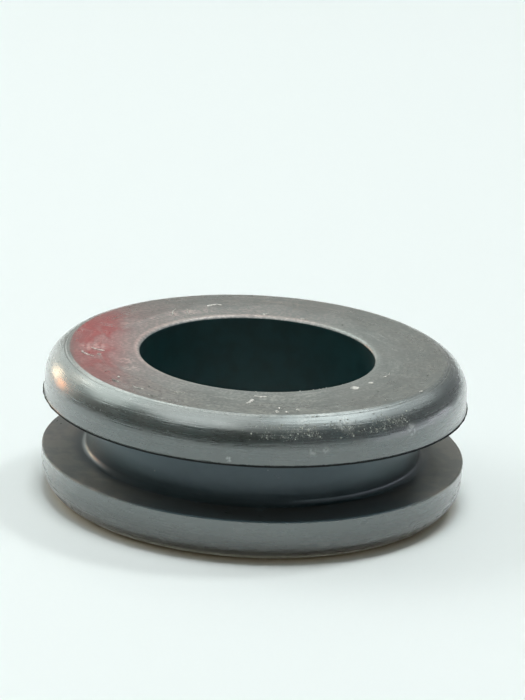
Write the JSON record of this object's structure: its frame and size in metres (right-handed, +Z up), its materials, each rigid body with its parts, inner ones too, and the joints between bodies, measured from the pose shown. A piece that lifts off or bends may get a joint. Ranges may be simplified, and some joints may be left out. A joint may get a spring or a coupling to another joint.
{
  "type": "rubber grommet",
  "caption": "Round black rubber grommet: domed flanges either side of a panel groove, with a straight bore for a cable or hose.",
  "frame": {"origin": "centre of the lower flat face, on the bore's axis, where the grommet rests on a surface", "axes": "+Z up along the bore's axis, towards the flange that has the moulding flash; X and Y are free, because the part is round"},
  "size_m": [0.0452, 0.0452, 0.0157],
  "materials": {
    "rubber": "semi-gloss moulded rubber with fine dust and scuffs"
  },
  "bodies": {
    "root": {"grommet": "rubber"}
  },
  "joints": []
}
